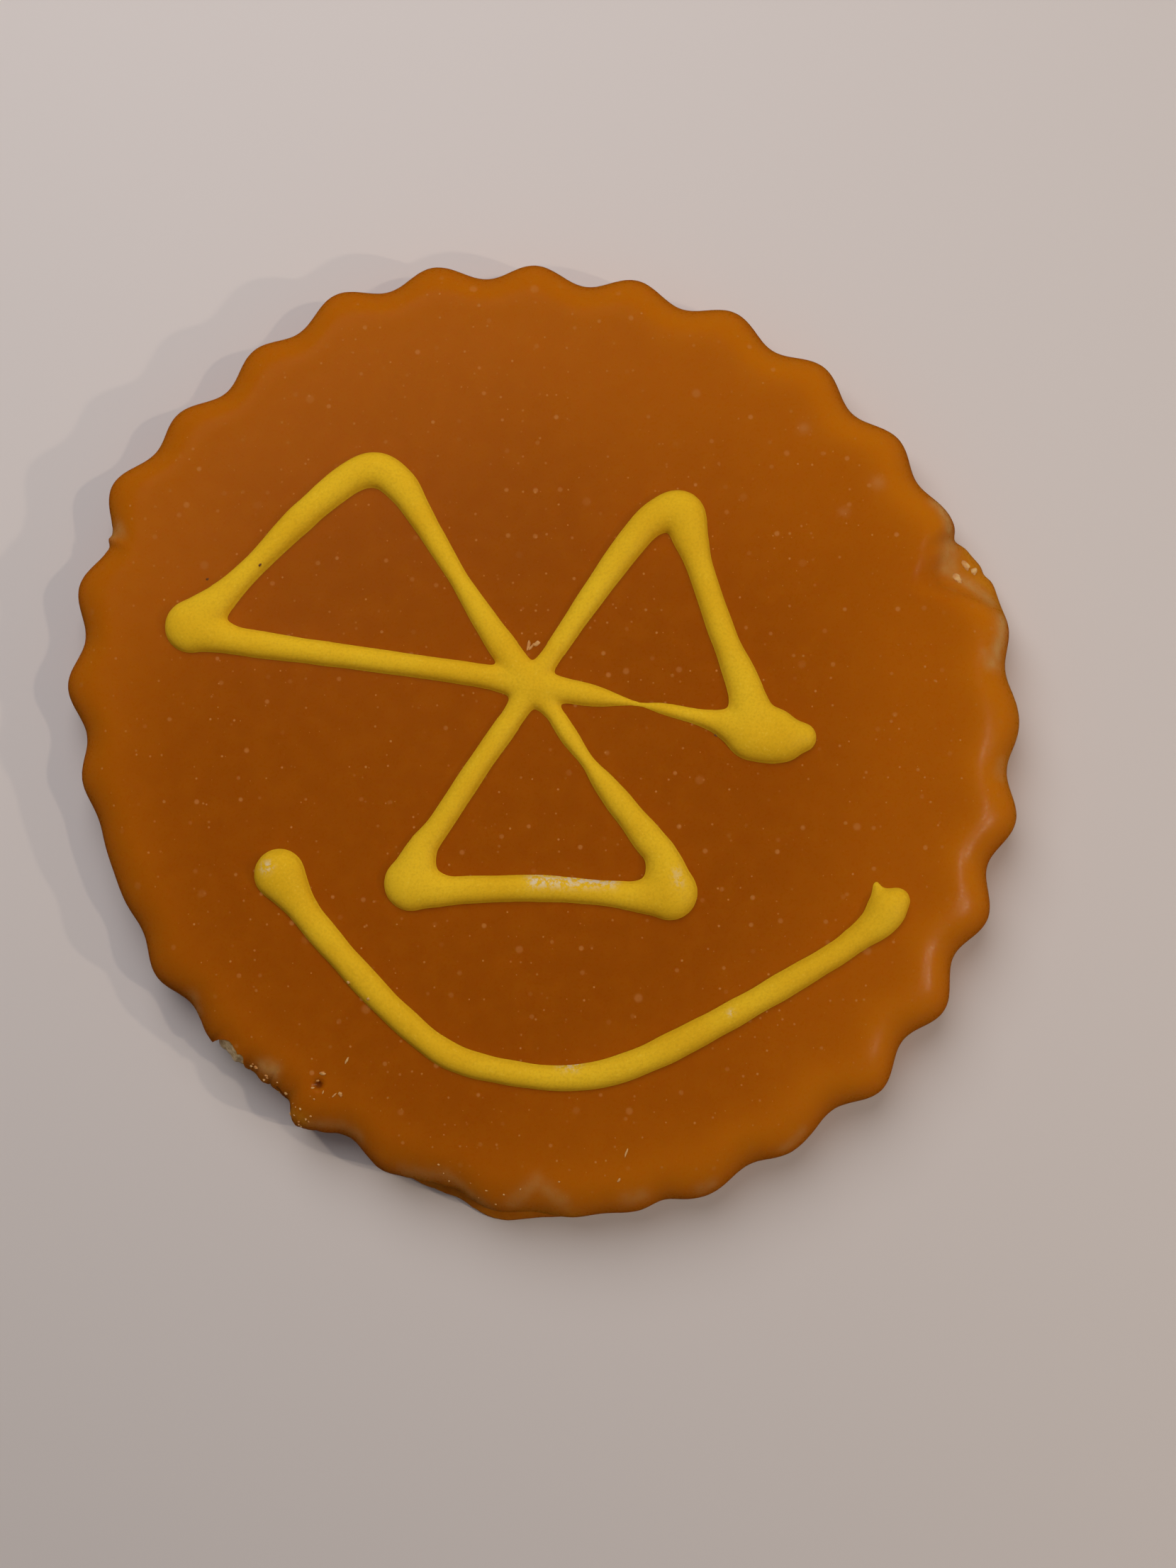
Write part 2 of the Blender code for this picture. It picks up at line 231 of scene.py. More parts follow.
# Crumbs, in millimetres and degrees: x, y, length, width and turn
PALE_CRUMBS = [
    # in the pool of the right ledge
    (42.9, 16.4, 1.15, 0.65, -53), (43.8, 15.9, 0.8, 0.65, 30), (41.7, 15.0, 1.2, 0.7, -20), (42.1, 14.6, 0.5, 0.4, 0),
    # round the burst bubble
    (-21.1, -34.2, 0.6, 0.32, -15), (-21.6, -34.9, 0.36, 0.28, 20), (-22.1, -35.6, 0.42, 0.15, 0),
    (-21.0, -36.0, 0.34, 0.14, 75), (-21.9, -36.7, 0.2, 0.18, 0), (-19.3, -36.2, 0.5, 0.38, -60),
    (-19.9, -36.3, 0.5, 0.16, 40), (-18.7, -32.9, 0.7, 0.2, 60),
    # flakes in the crook over the hub
    (-1.0, 7.9, 1.0, 0.3, 80), (-0.7, 7.8, 0.8, 0.25, 50), (-0.2, 8.1, 0.7, 0.45, 35),
    # beside the smile, and near the lower edge
    (-18.5, -25.3, 0.35, 0.3, 0), (-16.5, -26.9, 0.3, 0.25, 0), (8.6, -41.7, 0.9, 0.16, 70),
    (7.9, -44.3, 0.45, 0.2, 50), (2.1, -44.5, 0.2, 0.15, 0), (-9.7, -43.0, 0.25, 0.2, 0), (-5.0, -45.5, 0.3, 0.12, 0),
]
DARK_CRUMBS = [(-27.8, 16.1, 0.4, 0.2, 60), (-33.3, 14.8, 0.3, 0.2, 20), (17.5, -1.1, 0.35, 0.25, 0)]
EDGE_CRUMBS = [                 # scattered along the edge: angles, insets, sizes and how many
    ((-132, -120), (0.8, 2.8), (0.15, 0.4), 26),
    ((-102, -92), (2.2, 4.6), (0.12, 0.22), 7),
]
CRUMB_SEED = 5
CRUMB_ROUNDS = 3
CRUMB_FLATNESS = 0.6
CRUMB_UNEVENNESS = 0.55
CRUMB_SINK = 0.25               # share of its width that a crumb is sunk
BUBBLES = [                     # under the level top: cell, smallest and largest radius, share kept, strength
    (5.5 * MM, 0.3 * MM, 0.6 * MM, 0.3, 0.4),
    (2.4 * MM, 0.16 * MM, 0.34 * MM, 0.4, 0.55),
    (1.2 * MM, 0.07 * MM, 0.16 * MM, 0.3, 0.8),
]
SPOT_CORE = 0.4                 # share of a spot's radius over which it is even

# ---- Light and camera ----
CAMERA_PLACE = (11.14 * MM, -16.95 * MM, 170 * MM)
CAMERA_AIM = (4.84 * MM, -4.55 * MM, 0)
CAMERA_LENS = 37.77
CAMERA_SENSOR = 36


def bump(angle, place, half_width, power=2):
    """1 at place, fading to nothing on both sides, for angles in degrees. A higher power is flatter on top."""
    away = (angle - place + 180) % 360 - 180
    return np.exp(-np.abs(away / half_width) ** power)


def smooth_step(value, low, high):
    """0 below low, 1 above high, and smooth between them."""
    t = np.clip((value - low) / (high - low), 0, 1)
    return t * t * (3 - 2 * t)


def edge_radius(angle, fluting):
    """Distance from the middle to the iced edge, with fluting as the share of the flutes' depth."""
    radius = MEAN_RADIUS
    for waves, height, crest in SPREAD:
        radius = radius + height * np.cos(np.radians(waves * (angle - crest)))
    for place, half_width, height in PUSHES:
        radius = radius + height * bump(angle, place, half_width)
    depth = FLUTE_DEPTH * fluting
    for place, half_width in WORN_FLUTES:
        depth = depth * (1 - bump(angle, place, half_width))
    return radius + depth * np.cos(np.radians(FLUTES * (angle + FLUTE_TURN + flute_drift(angle))))


def flute_drift(angle):
    return FLUTE_DRIFT * np.cos(np.radians(2 * (angle - FLUTE_DRIFT_CREST)))


def plan_shift():
    """How far the CAD moved the middle of the mean edge, so that its coat's plan is centred on the origin."""
    angle = 360 * np.arange(FLUTES * CAD_SAMPLES_PER_FLUTE) / (FLUTES * CAD_SAMPLES_PER_FLUTE)
    foot = CHIP_ELEVATION * bump(angle, CHIP_ANGLE, CHIP_HALF_WIDTH)
    rise = np.radians(foot + (90 - foot) * COAT_WIDEST)
    radius = edge_radius(angle, np.cos(rise)) - COAT_SHOULDER * (1 - np.cos(rise))
    x, y = radius * np.cos(np.radians(angle)), radius * np.sin(np.radians(angle))
    return np.array([-(x.min() + x.max()) / 2, -(y.min() + y.max()) / 2, 0])


SHIFT = plan_shift()


def around(count):
    return 360 * np.arange(count) / count


def rag_wave(angle, seed):
    """Uneven steps from 0 to 1.5 round the edge."""
    wave = []
    for a in np.radians(angle):
        coarse = Vector((RAG_REACH * math.cos(a), RAG_REACH * math.sin(a), seed))
        fine = sum(0.5 ** (k + 1) * noise.noise(times * coarse) for k, times in enumerate(RAG_FINE))
        wave.append(noise.noise(coarse) + fine)
    return np.clip(0.5 + np.array(wave), 0, 1.5)


def rag(angle):
    """Inward bites of the ragged stretches, as a distance."""
    return rag_wave(angle, 3) * sum(depth * bump(angle, place, width) for place, width, depth in RAGS)


def streaks(u, v, lines, unit=1.0):
    """Strongest of the soft streaks at (u, v). A unit of u is so many of v's and of the streaks' half widths."""
    most = np.zeros(len(u))
    for start_u, start_v, end_u, end_v, half_width, strength in lines:
        run = np.array([(end_u - start_u) * unit, end_v - start_v])
        gap = np.stack([(u - start_u) * unit, v - start_v], -1)
        share = np.clip(gap @ run / max(run @ run, 1e-9), 0, 1)
        away = np.linalg.norm(gap - share[:, None] * run, axis=1) / half_width
        most = np.maximum(most, strength * np.exp(-away ** 2))
    return most


def dome(elevation):
    """Shares of a section's shoulder and top reached elevation degrees up a squared-off quarter circle."""
    rise = np.radians(elevation)
    along, up = np.cos(rise), np.sin(rise)
    reach = (along ** SQUARENESS + up ** SQUARENESS) ** (-1 / SQUARENESS)
    return along * reach, up * reach


def section(angle, elevation, inset, shoulder, top, lip):
    """Points (N, 3) on a domed skin, elevation degrees up its section, with its ledges."""
    along, up = dome(elevation)
    radius = edge_radius(angle, along ** FLUTE_FADE) - inset - shoulder * (1 - along)
    for place, half_width, height in EDGE_BUMPS:
        radius = radius + height * bump(angle, place, half_width) * along
    for place, half_width, power, depth, low, high in LEDGES:
        radius = radius - depth * bump(angle, place, half_width, power) * smooth_step(elevation, low, high)
    radius = radius - rag(angle) * along
    lift = lip * np.exp(-((shoulder * (1 - along) + inset - LIP_INSET) / LIP_WIDTH) ** 2)
    turn = np.radians(angle)
    return np.stack([radius * np.cos(turn), radius * np.sin(turn), top * up + lift], -1)


def bared(angle):
    """1 where the chip bares the biscuit, and 0 away from it."""
    return bump(angle, BARED_ANGLE, BARED_HALF_WIDTH, 6)


def chip_foot(angle):
    """Elevation of the coat's foot, which the chip lifts raggedly."""
    return BARED_FOOT * bared(angle) * (1 - BARED_RAG * rag_wave(angle, 8))


def add_ring(bm, points):
    return [bm.verts.new(p) for p in points]


def join_rings(bm, rings):
    """Bands of faces between neighbouring rings. A ring with half its neighbour's points takes every other one."""
    for lower, upper in zip(rings, rings[1:]):
        stride = len(lower) // len(upper)
        for i, vert in enumerate(upper):
            foot = [lower[(i * stride + k) % len(lower)] for k in range(stride + 1)]
            bm.faces.new((*foot, upper[(i + 1) % len(upper)], vert))


def finish(name, bm, replaces, material):
    """Turn a bmesh in the cookie's own frame into a smooth-shaded piece in the CAD's frame."""
    mesh = bpy.data.meshes.new(name)
    bmesh.ops.translate(bm, verts=bm.verts, vec=Vector(SHIFT))
    bm.to_mesh(mesh)
    bm.free()
    mesh.shade_smooth()
    mesh.materials.append(material)
    piece = bpy.data.objects.new(name, mesh)
    bpy.context.collection.objects.link(piece)
    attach(piece, "root")
    if replaces:
        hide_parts(replaces)
    return piece


def set_values(piece, name, values):
    """Store one number for each vertex, for the material to read."""
    layer = piece.data.attributes.new(name, "FLOAT", "POINT")
    layer.data.foreach_set("value", np.asarray(values, np.float32))


def vertex_places(piece):
    """The piece's vertices in the cookie's own frame, (N, 3)."""
    flat = np.zeros(3 * len(piece.data.vertices))
    piece.data.vertices.foreach_get("co", flat)
    return flat.reshape(-1, 3) - SHIFT


# ---- Materials ----
def new_material(name):
    material = bpy.data.materials.new(name)
    material.use_nodes = True
    return material, material.node_tree, material.node_tree.nodes["Principled BSDF"]


def feed(tree, socket, value):
    """Link a socket to value where that is an output, or set it."""
    if isinstance(value, bpy.types.NodeSocket):
        tree.links.new(value, socket)
    elif isinstance(value, tuple) and len(value) == 3 and socket.type == "RGBA":
        socket.default_value = (*value, 1)
    else:
        socket.default_value = value


def node(tree, kind, settings=None, **inputs):
    made = tree.nodes.new(kind)
    for key, value in (settings or {}).items():
        setattr(made, key, value)
    for key, value in inputs.items():
        feed(tree, made.inputs[key.replace("_", " ")], value)
    return made


def math_node(tree, operation, a, b=0.0):
    made = tree.nodes.new("ShaderNodeMath")
    made.operation = operation
    feed(tree, made.inputs[0], a)
    feed(tree, made.inputs[1], b)
    return made.outputs[0]


def mix(tree, factor, a, b, blend="MIX"):
    made = tree.nodes.new("ShaderNodeMix")
    made.data_type = "RGBA"
    made.blend_type = blend
    feed(tree, made.inputs[0], factor)
    feed(tree, made.inputs[6], a)
    feed(tree, made.inputs[7], b)
    return made.outputs[2]


def span(tree, value, low, high, to_low=0.0, to_high=1.0):
    """value between low and high, eased and mapped to between to_low and to_high."""
    made = node(tree, "ShaderNodeMapRange", {"interpolation_type": "SMOOTHSTEP"})
    for socket, number in zip(made.inputs, (value, low, high, to_low, to_high)):
        feed(tree, socket, number)
    return made.outputs[0]


def noise_node(tree, place, length, detail=2.0, roughness=0.5):
    """Noise from 0 to 1 whose features are about length across."""
    made = node(
        tree, "ShaderNodeTexNoise", Vector=place, Scale=1 / length, Detail=detail, Roughness=roughness)
    return made.outputs[0]


def attribute(tree, name):
    return node(tree, "ShaderNodeAttribute", {"attribute_name": name}).outputs["Fac"]


def spots(tree, place, cell, smallest, largest, kept, flat=False):
    """Soft round spots, one in kept of the cells, with radii from smallest to largest. Flat ones lie in plan."""
    settings = {"voronoi_dimensions": "2D" if flat else "3D"}
    cells = node(tree, "ShaderNodeTexVoronoi", settings, Vector=place, Scale=1 / cell)
    draw = node(tree, "ShaderNodeSeparateColor", Color=cells.outputs["Color"])
    radius = span(tree, draw.outputs["Red"], 0.3, 1, smallest / cell, largest / cell)
    core = math_node(tree, "MULTIPLY", radius, SPOT_CORE)
    spot = span(tree, cells.outputs["Distance"], core, radius, 1.0, 0.0)
    there = math_node(tree, "LESS_THAN", draw.outputs["Green"], kept)
    strength = span(tree, draw.outputs["Blue"], 0.0, 1.0, 0.25, 1.0)
    return math_node(tree, "MULTIPLY", math_node(tree, "MULTIPLY", spot, there), strength)


def orange_icing():
    material, tree, shader = new_material("orange_icing")
    place = node(tree, "ShaderNodeTexCoord").outputs["Object"]
    # painted shade: darker towards the middle, with a slow mottling all over
    reach = node(tree, "ShaderNodeVectorMath", {"operation": "DISTANCE"})
    feed(tree, reach.inputs[0], place)
    reach.inputs[1].default_value = PAINTED_SHADE_MIDDLE
    wander = noise_node(tree, place, 22 * MM)
    reach = math_node(tree, "ADD", reach.outputs["Value"], math_node(tree, "MULTIPLY", wander, 16 * MM))
    colour = mix(tree, span(tree, reach, 32 * MM, 58 * MM), (0.365, 0.083, 0.0003), (0.475, 0.119, 0.001))
    # painted light: a lighter band inside the rim, strongest on the lamps' side
    colour = mix(tree, attribute(tree, "rim"), colour, (0.57, 0.166, 0.002))
    # painted shade: darker along the outline and down the wall
    colour = mix(tree, attribute(tree, "painted_rim_shade"), colour, (0.30, 0.058, 0.0003))
    mottle = noise_node(tree, place, 2.2 * MM, 3.0)
    colour = mix(tree, span(tree, mottle, 0.35, 0.75, 0.0, 0.14), colour, (0.52, 0.15, 0.003))
    patchy = span(tree, noise_node(tree, place, 0.9 * MM, 3.0), 0.3, 0.65, 0.55, 1.0)
    colour = mix(tree, math_node(tree, "MULTIPLY", attribute(tree, "gold"), patchy), colour, (0.62, 0.225, 0.006))
    colour = mix(tree, math_node(tree, "MULTIPLY", attribute(tree, "film"), patchy), colour, (0.58, 0.285, 0.075))
    colour = mix(tree, math_node(tree, "MULTIPLY", attribute(tree, "bubble"), 0.35), colour, (0.62, 0.27, 0.08))
    # painted shade in the burst bubble's hollow and in the cracks along the edge
    colour = mix(tree, span(tree, attribute(tree, "painted_hollow_shade"), 0.3, 0.8), colour, (0.20, 0.04, 0.001))
    for cell, smallest, largest, kept, strength in BUBBLES:
        bubbles = spots(tree, place, cell, smallest, largest, kept, flat=True)
        bubbles = math_node(tree, "MULTIPLY", bubbles, math_node(tree, "MULTIPLY", attribute(tree, "level"), strength))
        colour = mix(tree, bubbles, colour, (0.62, 0.25, 0.06))
    feed(tree, shader.inputs["Base Color"], colour)
    grain = noise_node(tree, place, 0.35 * MM, 3.0, 0.6)
    feed(tree, shader.inputs["Roughness"], span(tree, grain, 0.3, 0.7, 0.25, 0.36))
    relief = node(tree, "ShaderNodeBump", Strength=0.4, Distance=0.025 * MM, Height=grain)
    feed(tree, shader.inputs["Normal"], relief.outputs[0])
    shader.inputs["Specular IOR Level"].default_value = 0.12
    shader.inputs["Subsurface Weight"].default_value = 0.4
    shader.inputs["Subsurface Radius"].default_value = (1.0, 0.35, 0.1)
    shader.inputs["Subsurface Scale"].default_value = 1.5 * MM
    return material


def yellow_icing():
    material, tree, shader = new_material("yellow_icing")
    place = node(tree, "ShaderNodeTexCoord").outputs["Object"]
    broad = noise_node(tree, place, 9 * MM)
    colour = mix(tree, span(tree, broad, 0.3, 0.7), (0.83, 0.475, 0.012), (0.89, 0.55, 0.018))
    grain = noise_node(tree, place, 0.26 * MM, 2.0, 0.6)
    # darker in the grain's low spots, where the bump sinks, and lighter on its high spots as painted glints
    colour = mix(tree, span(tree, grain, 0.32, 0.55, 0.27, 0.0), colour, (0.60, 0.32, 0.008))
    colour = mix(tree, span(tree, grain, 0.6, 0.75, 0.0, 0.3), colour, (0.95, 0.70, 0.10))
    flakes = noise_node(tree, place, 0.5 * MM, 3.0, 0.7)
    scuffed = math_node(tree, "MULTIPLY", attribute(tree, "scuff"), span(tree, flakes, 0.42, 0.56))
    colour = mix(tree, scuffed, colour, (0.80, 0.66, 0.42))
    feed(tree, shader.inputs["Base Color"], colour)
    feed(tree, shader.inputs["Roughness"], span(tree, grain, 0.3, 0.7, 0.5, 0.68))
    relief = node(tree, "ShaderNodeBump", Strength=0.6, Distance=0.02 * MM, Height=grain)
    feed(tree, shader.inputs["Normal"], relief.outputs[0])
    shader.inputs["Specular IOR Level"].default_value = 0.12
    shader.inputs["Subsurface Weight"].default_value = 0.2
    shader.inputs["Subsurface Radius"].default_value = (1.0, 0.8, 0.3)
    shader.inputs["Subsurface Scale"].default_value = 0.5 * MM
    return material


def baked_dough():
    material, tree, shader = new_material("baked_dough")
    place = node(tree, "ShaderNodeTexCoord").outputs["Object"]
    browning = noise_node(tree, place, 14 * MM, 3.0)
    colour = mix(tree, span(tree, browning, 0.35, 0.7), (0.60, 0.42, 0.24), (0.42, 0.22, 0.085))
    crumb = noise_node(tree, place, 0.6 * MM, 4.0, 0.65)
    colour = mix(tree, span(tree, crumb, 0.3, 0.55, 0.5, 0.0), colour, (0.26, 0.13, 0.05))
    pores = spots(tree, place, 1.6 * MM, 0.15 * MM, 0.5 * MM, 0.6)
    colour = mix(tree, math_node(tree, "MULTIPLY", pores, 0.8), colour, (0.16, 0.075, 0.03))
    broken = mix(tree, span(tree, crumb, 0.38, 0.6), (0.54, 0.34, 0.13), (0.86, 0.62, 0.33))
    colour = mix(tree, attribute(tree, "broken"), colour, broken)
    feed(tree, shader.inputs["Base Color"], colour)
    feed(tree, shader.inputs["Roughness"], span(tree, crumb, 0.3, 0.7, 0.7, 0.9))
    height = math_node(tree, "SUBTRACT", crumb, pores)
    relief = node(tree, "ShaderNodeBump", Strength=0.8, Distance=0.15 * MM, Height=height)
    feed(tree, shader.inputs["Normal"], relief.outputs[0])
    return material


def crumbled_dough(name, one, other):
    """Crumbs, each somewhere between two colours."""
    material, tree, shader = new_material(name)
    place = node(tree, "ShaderNodeTexCoord").outputs["Object"]
    feed(tree, shader.inputs["Base Color"], mix(tree, span(tree, noise_node(tree, place, 0.7 * MM), 0.35, 0.65), one, other))
    grain = noise_node(tree, place, 0.12 * MM, 3.0)
    feed(tree, shader.inputs["Roughness"], span(tree, grain, 0.3, 0.7, 0.5, 0.8))
    relief = node(tree, "ShaderNodeBump", Strength=0.5, Distance=0.04 * MM, Height=grain)
    feed(tree, shader.inputs["Normal"], relief.outputs[0])
    return material


# ---- Pieces ----
def undulate(points):
    """Add the coat's slow undulation and its fine ripple, outwards along its section."""
    for p in points:
        spot = Vector(p)
        slow = UNDULATION * noise.noise(spot / UNDULATION_LENGTH)
        fine = RIPPLE * noise.noise(spot / RIPPLE_LENGTH)
        share = min(1.0, p[2] / COAT_TOP)
        away = math.hypot(p[0] / MM - BURST[0], p[1] / MM - BURST[1]) / BURST[2]
        p[2] += (slow + 0.3 * fine) * share - BURST[3] * MM * math.exp(-away ** 4)
        reach = math.hypot(p[0], p[1])
        if reach > 0:
            p[0] -= p[0] / reach * abs(fine) * (1 - share)
            p[1] -= p[1] / reach * abs(fine) * (1 - share)
    return points


def coat(material):
    bm = bmesh.new()
    angle = around(AROUND)
    foot = chip_foot(angle)
    outside = []
    tuck = section(angle, foot, SKIN + COAT_FOOT_TUCK, COAT_SHOULDER, COAT_TOP, 0)
    outside.append(add_ring(bm, tuck))
    for k in range(WALL_RINGS + 1):
        share = 0.04 + 0.96 * k / WALL_RINGS
        points = section(angle, foot + (90 - foot) * share, SKIN, COAT_SHOULDER, COAT_TOP, LIP_HEIGHT)
        outside.append(add_ring(bm, undulate(points)))
    brink = section(angle, np.full(AROUND, 90.0), SKIN, COAT_SHOULDER, COAT_TOP, LIP_HEIGHT)
    reach = float(np.hypot(brink[:, 0], brink[:, 1]).mean())
    steps = round(reach / TOP_STEP)
    for k in range(1, steps):
        share = 1 - k / steps
        stride = 2 ** sum(share < limit for limit in THIN_OUT_AT)
        points = brink[::stride] * (share, share, 1)
        fade = LIP_HEIGHT * math.exp(-((COAT_SHOULDER + SKIN - LIP_INSET) / LIP_WIDTH) ** 2)
        inset = COAT_SHOULDER + SKIN + reach * (1 - share)
        points[:, 2] += LIP_HEIGHT * math.exp(-((inset - LIP_INSET) / LIP_WIDTH) ** 2) - fade
        outside.append(add_ring(bm, undulate(points)))
    inset = BISCUIT_INSET - FIT_GAP
    shoulder = BISCUIT_SHOULDER + FIT_GAP
    top = BISCUIT_TOP + FIT_GAP
    inside = []
    for share in (0, 0.25, 0.5, 0.75, 1.0):
        points = section(angle, foot + (90 - foot) * share, inset, shoulder, top, 0)
        inside.append(add_ring(bm, points))
    join_rings(bm, [*reversed(inside), *outside])
    bm.faces.new(outside[-1])
    bm.faces.new(reversed(inside[-1]))
    piece = finish("iced_coat", bm, "icing_coat", material)
    colour_coat(piece)
    return piece


def colour_coat(piece):
    """Where the coat is a film that lets the dough's paleness through, where it is golden, its bubbles, and its painted
    light and shade on the rim and in its hollows.
    """
    p = vertex_places(piece)
    angle = np.degrees(np.arctan2(p[:, 1], p[:, 0]))
    inset = edge_radius(angle, 1.0) - np.hypot(p[:, 0], p[:, 1])
    set_values(piece, "film", streaks(angle, inset / MM, FILMS, EDGE_DEGREE))
    set_values(piece, "gold", streaks(angle, inset / MM, GOLDS, EDGE_DEGREE))
    # painted light on the rim, strongest at one angle on the lamps' side
    place, width, side = RIM_PAINTED_LIGHT
    lit = np.maximum(0.4 + 0.6 * np.cos(np.radians(angle - side)), 0.2)
    set_values(piece, "rim", lit * np.exp(-((inset / MM - place) / width) ** 2))
    # painted shade darkening the outline and the wall
    set_values(piece, "painted_rim_shade", RIM_PAINTED_SHADE[1] * np.exp(-np.maximum(inset / MM / RIM_PAINTED_SHADE[0], 0) ** 2))
    set_values(piece, "level", smooth_step(p[:, 2], 7.6 * MM, 8.3 * MM))
    x, y = p[:, 0] / MM, p[:, 1] / MM
    set_values(piece, "bubble", streaks(x, y, [(u, v, u, v, radius, 1.0) for u, v, radius in BIG_BUBBLES]))
    # painted shade in the burst bubble's hollow and in the edge's cracks
    u, v, radius, _ = BURST
    dark = np.maximum(
        streaks(x, y, [(u, v, u, v, radius, 1.0)]), streaks(angle, inset / MM, CREVICES, EDGE_DEGREE))
    set_values(piece, "painted_hollow_shade", dark)


def biscuit(material):
    bm = bmesh.new()
    angle = around(AROUND)
    rings = []
    base = section(angle, np.zeros(len(angle)), BISCUIT_INSET + BISCUIT_EDGE, BISCUIT_SHOULDER, BISCUIT_TOP, 0)
    for share in (0.25, 0.5, 0.75):
        rings.append(add_ring(bm, base * (share, share, 1)))
    rings.append(add_ring(bm, base))
    for elevation in np.linspace(4, 90, BISCUIT_RINGS):
        share = bared(angle) * (1 - smooth_step(elevation, *BARED_FADE))
        inset = BISCUIT_INSET + share * (BARED_INSET - BISCUIT_INSET)
        shoulder = BISCUIT_SHOULDER + share * (COAT_SHOULDER - BISCUIT_SHOULDER)
        top = BISCUIT_TOP + share * (BARED_TOP - BISCUIT_TOP)
        points = section(angle, np.full(len(angle), elevation), inset, shoulder, top, 0)
        for p, rough in zip(points, share):
            p *= 1 - rough * BARED_ROUGHNESS / MEAN_RADIUS * (1 + noise.noise(Vector(p) / BARED_LUMP))
        rings.append(add_ring(bm, points))
    join_rings(bm, rings)
    bm.faces.new(reversed(rings[0]))
    bm.faces.new(rings[-1])
    piece = finish("baked_base", bm, "biscuit", material)
    p = vertex_places(piece)
    set_values(piece, "broken", bared(np.degrees(np.arctan2(p[:, 1], p[:, 0]))))
    return piece


def smooth_route(route):
    """Places (x, y, half width) in metres, PIPE_STEP apart, on a Catmull-Rom curve through the route."""
    points = [Vector(p) * MM for p in route]
    points = [2 * points[0] - points[1], *points, 2 * points[-1] - points[-2]]
    places = []
    for before, start, end, after in zip(points, points[1:], points[2:], points[3:]):
        steps = max(2, round((end - start).xy.length / PIPE_STEP))
        for i in range(steps):
            t = i / steps
            pull = (end - before) * t + (2 * before - 5 * start + 4 * end - after) * t ** 2
            places.append(start + (pull + (3 * start - before - 3 * end + after) * t ** 3) / 2)
    return [*places, points[-2]]


def pipe_height(half_width):
    """Height of piped icing that spread to half_width: steep on a thin line, levelling off on a blob."""
    return PIPE_MOST * math.tanh(PIPE_STEEPNESS * half_width / PIPE_MOST)


def sweep(bm, places):
    """A closed tube of oval sections along places, with a round blob at each end."""
    rings = []
    share, apart = PIPE_WAVER
    for i, place in enumerate(places):
        along = (places[min(i + 1, len(places) - 1)] - places[max(i - 1, 0)]).xy.normalized()
        wide = place.z * (1 + share * noise.noise(place / apart))
        row = []
        for k in range(PIPE_SIDES):
            turn = 2 * math.pi * k / PIPE_SIDES
            across = wide * math.cos(turn)
            height = PIPE_LIFT + pipe_height(place.z) * math.sin(turn)
            row.append(bm.verts.new((place.x - along.y * across, place.y + along.x * across, height)))
        rings.append(row)
    join_rings(bm, rings)
    bm.faces.new(reversed(rings[0]))
    bm.faces.new(rings[-1])
    for end in (places[0], places[-1]):
        ball = bmesh.ops.create_uvsphere(bm, u_segments=PIPE_SIDES, v_segments=PIPE_SIDES // 2, radius=1)
        bmesh.ops.scale(bm, verts=ball["verts"], vec=(end.z, end.z, pipe_height(end.z)))
        bmesh.ops.translate(bm, verts=ball["verts"], vec=(end.x, end.y, PIPE_LIFT))


def melt(name, routes):
    """The routes' tubes run together into one skin, softened most where they meet."""
    bm = bmesh.new()
    for route in routes:
        sweep(bm, smooth_route(route))
    bmesh.ops.recalc_face_normals(bm, faces=bm.faces)
    mesh = bpy.data.meshes.new(name)
    bm.to_mesh(mesh)
    bm.free()
    guide = bpy.data.objects.new(name + "_guide", mesh)
    bpy.context.collection.objects.link(guide)
    remesh = guide.modifiers.new("melt", "REMESH")
    remesh.mode = "VOXEL"
    remesh.voxel_size = MELT_VOXEL
    melted = bmesh.new()
    melted.from_object(guide, bpy.context.evaluated_depsgraph_get())
    bpy.data.objects.remove(guide)
    ends = [Vector(route[i][:2]) * MM for route in routes for i in (0, -1)]
    soft = [v for v in melted.verts if min((v.co.xy - end).length for end in ends) < MELT_REACH]
    for verts, rounds in ((melted.verts, FINISH_ROUNDS), (soft, MELT_ROUNDS)):
        for _ in range(rounds):
            bmesh.ops.smooth_vert(
                melted, verts=verts, factor=SMOOTHING, use_axis_x=True, use_axis_y=True, use_axis_z=True)
    return melted


def piping(name, routes, replaces, material):
    """A piped body, cut level where it sinks into the coat."""
    bm = melt(name, routes)
    for x, y, radius, depth in DIMPLES:
        for v in bm.verts:
            away = math.hypot(v.co.x - x * MM, v.co.y - y * MM) / radius
            v.co.z -= depth * math.exp(-away ** 2) * max(0, v.co.z / PIPE_MOST)
    everything = [*bm.verts, *bm.edges, *bm.faces]
    cut = bmesh.ops.bisect_plane(
        bm, geom=everything, plane_co=(0, 0, PIPE_CUT), plane_no=(0, 0, 1), clear_inner=True)
    bm.normal_update()
    spread, reach = PIPE_SKIRT
    for v in bm.verts:
        share = max(0, 1 - (v.co.z - PIPE_CUT) / reach)
        v.co.xy += v.normal.xy * spread * share ** 2
    rim = [e for e in cut["geom_cut"] if isinstance(e, bmesh.types.BMEdge)]
    bmesh.ops.triangle_fill(bm, edges=rim, use_beauty=True, normal=(0, 0, -1))
    bmesh.ops.translate(bm, verts=bm.verts, vec=(0, 0, -PIPE_CUT))
    bmesh.ops.scale(bm, verts=bm.verts, vec=(1, 1, PIPE_LOWNESS))
    foot = COAT_TOP - PIPE_SINK
    bmesh.ops.translate(bm, verts=bm.verts, vec=(*PIPING_MIDDLE, foot))
    piece = finish(name, bm, replaces, material)
    p = vertex_places(piece) / MM
    set_values(piece, "scuff", streaks(p[:, 0], p[:, 1], SCUFFS))
    return piece


